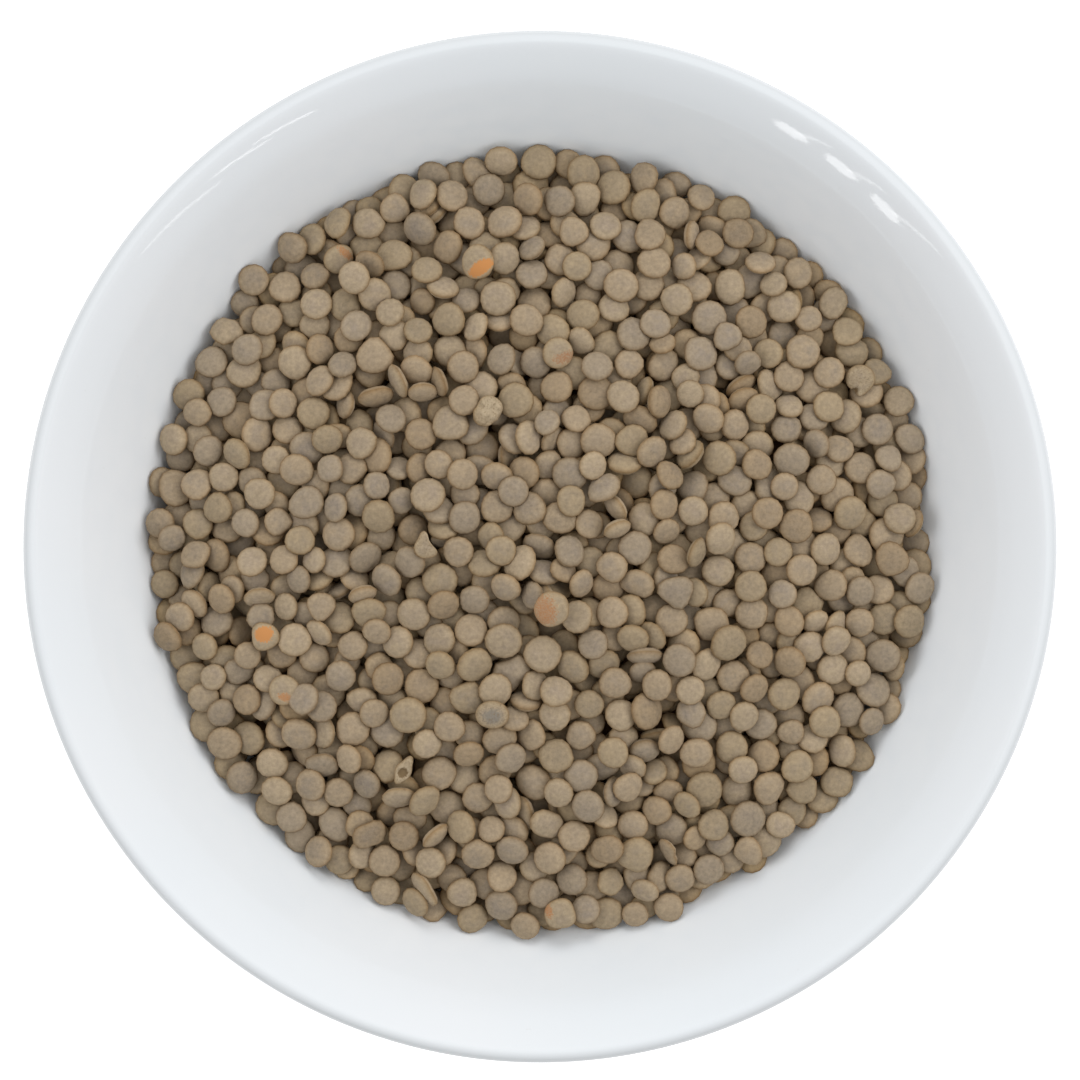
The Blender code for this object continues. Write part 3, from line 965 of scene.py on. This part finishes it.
# small lamps that the glaze mirrors: azimuth and elevation of both ends in degrees, width, brightness
markLamps = [
    (242.1, 15.1, 239.6, 18.4, 60 * mm, 5.0), (240.4, 17.0, 236.1, 22.9, 14 * mm, 3.0),
    (235.3, 14.7, 232.6, 18.0, 60 * mm, 5.0), (233.4, 16.8, 228.6, 23.1, 14 * mm, 3.0),
    (228.5, 14.2, 225.8, 17.8, 60 * mm, 5.0), (226.6, 16.8, 219.4, 23.9, 14 * mm, 3.0),
    (295.2, 19.0, 303.4, 21.6, 16 * mm, 4.5),
    (301.2, 18.0, 309.4, 21.9, 16 * mm, 4.5),
    (308.2, 16.2, 321.0, 22.8, 15 * mm, 3.2),
]


def addLamp(name, shape, length, width, power, middle, along, mirrored):
    # the lamp's long side lies along a direction, and its face looks at the bowl
    light = bpy.data.lights.new(name, "AREA")
    light.shape = shape
    light.size = length
    light.size_y = width
    light.energy = power
    lamp = bpy.data.objects.new(name, light)
    bpy.context.scene.collection.objects.link(lamp)
    back = (middle - studio["aim"]).normalized()
    side = (along - along.dot(back) * back).normalized()
    turned = Matrix((side, back.cross(side), back)).transposed()
    lamp.matrix_world = Matrix.Translation(middle) @ turned.to_4x4()
    lamp.visible_camera = False
    lamp.visible_glossy = mirrored


def onSky(azimuth, elevation):
    # the point at this azimuth and elevation, in degrees, on a sphere round the bowl
    a, e = math.radians(azimuth), math.radians(elevation)
    away = Vector((math.cos(a) * math.cos(e), math.sin(a) * math.cos(e), math.sin(e)))
    return studio["aim"] + away * studio["lampDistance"]


def makeStudio():
    scene = bpy.context.scene
    scene.view_settings.view_transform = "Standard"
    world = bpy.data.worlds.new("studioAir")
    world.use_nodes = True
    world.node_tree.nodes["Background"].inputs["Color"].default_value = (1, 1, 1, 1)
    world.node_tree.nodes["Background"].inputs["Strength"].default_value = studio["world"]
    scene.world = world
    for name, (azimuth, elevation, width, power) in softLamps.items():
        # a round lamp is the same whichever way it is turned
        middle, along = onSky(azimuth, elevation), Vector((0.6, 0.8, 0))
        addLamp(name, "DISK", width, width, power, middle, along, False)
    for number, (fromA, fromE, toA, toE, width, brightness) in enumerate(markLamps):
        start, end = onSky(fromA, fromE), onSky(toA, toE)
        length = (end - start).length
        # pi times the brightness, for each unit of the ellipse's area
        power = brightness * math.pi * length * width * math.pi / 4
        middle, along = (start + end) / 2, end - start
        addLamp(f"mark{number + 1}", "ELLIPSE", length, width, power, middle, along, True)
    camera = bpy.data.objects.new("camera", bpy.data.cameras.new("camera"))
    scene.collection.objects.link(camera)
    lean, distance = studio["cameraLean"], studio["cameraDistance"]
    target = Vector(studio["lookAt"])
    camera.location = target + Vector((0, math.sin(lean), math.cos(lean))) * distance
    camera.rotation_euler = (-lean, 0, 0)
    camera.data.lens = studio["lens"]
    scene.camera = camera


def makeFloor():
    paper = Finish("paleFloor", Roughness=0.9)
    paper.feed(paper.shader, {"Base Color": srgb(250, 250, 250), "Emission Color": (1, 1, 1, 1)})
    paper.feed(paper.shader, {"Emission Strength": studio["floorGlow"]})
    size = studio["floorReach"]
    corners = [(-size, -size, 0), (size, -size, 0), (size, size, 0), (-size, size, 0)]
    mesh = bpy.data.meshes.new("floor")
    mesh.from_pydata(corners, [], [(0, 1, 2, 3)])
    mesh.materials.append(paper.material)
    floor = bpy.data.objects.new("floor", mesh)
    floor.visible_diffuse = False   # it stays white in the picture without washing out the bowl's outside
    bpy.context.scene.collection.objects.link(floor)


makeStudio()
makeFloor()
makeBowl()
makeCore()
makeLentils()
